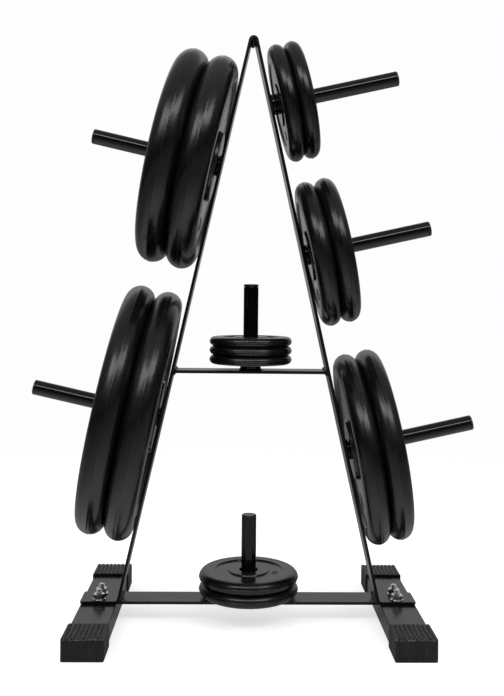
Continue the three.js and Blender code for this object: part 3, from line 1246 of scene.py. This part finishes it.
def ribRow(size, first, step, count, turn=(0, 0, 0)):
    values = {
        "Size": size, "Turn": turn, "First": first, "Step": step, "Count": count,
        "Sides": cap["ribSides"], "Finish": capFinish,
    }
    return grown(pathMesh([]), ribTree, values)


def shoeMesh(sideName, low, high, mouthY, faceY, end):
    # the plain cap: a box with rounded edges that the end of the rail sits in
    loops = [boxLoop(low, high, 0, cap["edge"], mouthY)]
    for share in cap["edgeSteps"]:
        gap = share * cap["edge"]
        inset = roundOff(cap["edge"], gap)
        corner = max(cap["edge"] - inset, cap["least"])
        loops.append(boxLoop(low, high, inset, corner, faceY - end * gap))
    shoe = newPiece("shoe", sweepRings(loops))
    railLow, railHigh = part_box(f"rail_{sideName}")
    reach = (mouthY - end * cap["mouthOver"], faceY - end * (cap["front"] - cap["faceRibDepth"]))
    hollow = [boxLoop(railLow, railHigh, -cap["clearance"], rail["corner"], y) for y in reach]
    return cutBy(shoe, [newPiece("pocket", sweepRings(hollow))])


def markWornHighlight(mesh, faceY, edgeZ):
    # 1 along the upper edge of the end face, where rubbed wear and a painted highlight make the
    # cap lighter
    reach = cap["wornHighlightReach"]
    spots = [(abs(v.co.y - faceY), abs(v.co.z - edgeZ)) for v in mesh.vertices]
    near = [float(max(spot) < reach) for spot in spots]
    mesh.attributes.new("worn", "FLOAT", "POINT").data.foreach_set("value", near)


def makeCap(sideName, endName, end):
    node = f"foot_cap_{sideName}_{endName}"
    low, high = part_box(node)
    valley = high.z - cap["ribDepth"]
    faceY = (low.y if end < 0 else high.y) - end * cap["faceRibDepth"]
    mouthY = high.y if end < 0 else low.y
    shoeLow = Vector((low.x + cap["sideRibDepth"], 0, low.z))
    shoeHigh = Vector((high.x - cap["sideRibDepth"], 0, valley))
    body = shoeMesh(sideName, shoeLow, shoeHigh, mouthY, faceY, end)
    edge = cap["edge"]
    width = shoeHigh.x - shoeLow.x
    pitch = width / cap["ribs"]
    length = abs(faceY - mouthY)
    topRibs = ribRow(
        (pitch / 2, cap["ribDepth"], length - cap["ribSetback"]),
        (shoeLow.x + pitch / 2, (faceY + mouthY - end * cap["ribSetback"]) / 2, valley),
        (pitch, 0, 0),
        cap["ribs"],
        (math.pi / 2, 0, 0),
    )
    faceHeight = valley - low.z - 2 * edge
    faceMiddle = low.z + edge + faceHeight / 2
    facePitch = (width - 2 * edge) / cap["faceRibs"]
    faceRibs = ribRow(
        (facePitch / 2, cap["faceRibDepth"], faceHeight),
        (shoeLow.x + edge + facePitch / 2, faceY, faceMiddle),
        (facePitch, 0, 0),
        cap["faceRibs"],
    )
    drop = edge * (1 - math.sqrt(0.5))
    seam = ribRow(
        (cap["seamRadius"], cap["seamRadius"], width - 2 * edge),
        ((shoeLow.x + shoeHigh.x) / 2, faceY - end * drop, valley - drop),
        (0, 0, 0),
        1,
        (0, math.pi / 2, 0),
    )
    meshes = [body, topRibs, faceRibs, seam]
    sidePitch = (length - 2 * edge) / cap["sideRibs"]
    for x in (shoeLow.x, shoeHigh.x):
        meshes.append(ribRow(
            (cap["sideRibDepth"], sidePitch / 2, faceHeight),
            (x, min(faceY, mouthY) + edge + sidePitch / 2, faceMiddle),
            (0, sidePitch, 0),
            cap["sideRibs"],
        ))
    piece = joined(f"{node}_fine", meshes, capFinish, [node], 35)
    markWornHighlight(piece.data, faceY, valley)


for sideName in sides:
    for endName, end in ends.items():
        makeCap(sideName, endName, end)
print("caps made")


# Foot bolts: thread, chamfered nut and washer

fastener = {
    "radius": 5 * mm,
    "axisGap": 0.2 * mm,
    "headHeight": 6.4 * mm,
    "shankStart": 3 * mm,
    "threadPitch": 1.5 * mm,
    "threadDepth": 0.75 * mm,
    "threadSteps": ((0.1, 0), (0.45, 1), (0.6, 1), (0.95, 0)),
    "tip": 1.1 * mm,
    "tipEdge": 0.3 * mm,
    "flats": 17 * mm,
    "nutEdgeShare": 0.96,
    "nutSlope": math.radians(30),
    "nutTurn": math.radians(20),
    "washerEdge": 0.5 * mm,
    "bore": 5.3 * mm,
    "segments": 72,
    "shankSegments": 36,
    "turns": {"left_front": 14, "left_back": 37, "right_front": 49, "right_back": 5},
}


def nutRings(place, low, high, bore, turn):
    # a hexagon whose corners are taken off by a cone above and below
    half = fastener["flats"] / 2
    chamfer = half * fastener["nutEdgeShare"]
    columns = []
    for step in range(fastener["segments"]):
        angle = 2 * math.pi * step / fastener["segments"]
        inFlat = (angle + math.pi / 6) % (math.pi / 3) - math.pi / 6
        reach = half / math.cos(inFlat)
        drop = (reach - chamfer) * math.tan(fastener["nutSlope"])
        lower = [(bore, low), (chamfer, low), (reach, low + drop)]
        upper = [(reach, high - drop), (chamfer, high), (bore, high)]
        around = angle + turn
        columns.append([place @ roundSpot(radius, around, z) for radius, z in lower + upper])
    return sweepRings(list(zip(*columns)), True)


def shankRings(place, low, high, threadLow):
    # a plain shank up to the nut, then rings of thread and a bevelled tip
    radius, depth, pitch = fastener["radius"], fastener["threadDepth"], fastener["threadPitch"]
    axis, tip, edge = fastener["axisGap"], fastener["tip"], fastener["tipEdge"]
    corners = [(axis, low), (radius, low), (radius, threadLow)]
    for turn in range(int((high - tip - threadLow) / pitch)):
        start = threadLow + turn * pitch
        steps = fastener["threadSteps"]
        corners += [(radius - depth * deep, start + share * pitch) for share, deep in steps]
    corners += [(radius, high - tip), (radius - tip, high - edge)]
    corners += [(radius - tip - edge, high), (axis, high)]
    return latheRings(corners, place, fastener["shankSegments"], False)


def makeBolt(label):
    spot = centreOf(f"bolt_{label}")
    low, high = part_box(f"bolt_{label}")
    nutLow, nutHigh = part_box(f"nut_{label}")
    place = Matrix.Translation((spot.x, spot.y, 0))
    turn = math.radians(fastener["turns"][label])
    shankLow, headTop = low.z + fastener["shankStart"], low.z + fastener["headHeight"]
    solids = [
        newPiece("shank", shankRings(place, shankLow, high.z, nutLow.z)),
        newPiece("head", nutRings(place, low.z, headTop, fastener["axisGap"], turn)),
    ]
    meshes = [solid.data for solid in solids]
    joined(f"bolt_{label}_fine", meshes, zincFinish, [f"bolt_{label}"], 25)
    for used in solids:
        bpy.data.objects.remove(used)
    nutTurn = turn + fastener["nutTurn"]
    nut = nutRings(place, nutLow.z, nutHigh.z, fastener["bore"], nutTurn)
    finePiece(f"nut_{label}", nut, zincFinish, 25)
    low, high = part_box(f"washer_{label}")
    outer, inner = (high.x - low.x) / 2, fastener["bore"]
    edge = fastener["washerEdge"]
    lower = [(inner, low.z, 0), (outer, low.z, edge / 2)]
    upper = [(outer, high.z, edge), (inner, high.z, edge)]
    ring = latheRings(roundedLoop(lower + upper), place, fastener["segments"])
    finePiece(f"washer_{label}", ring, zincFinish, 35)


for sideName in sides:
    for endName in ends:
        makeBolt(f"{sideName}_{endName}")
print("bolts made")
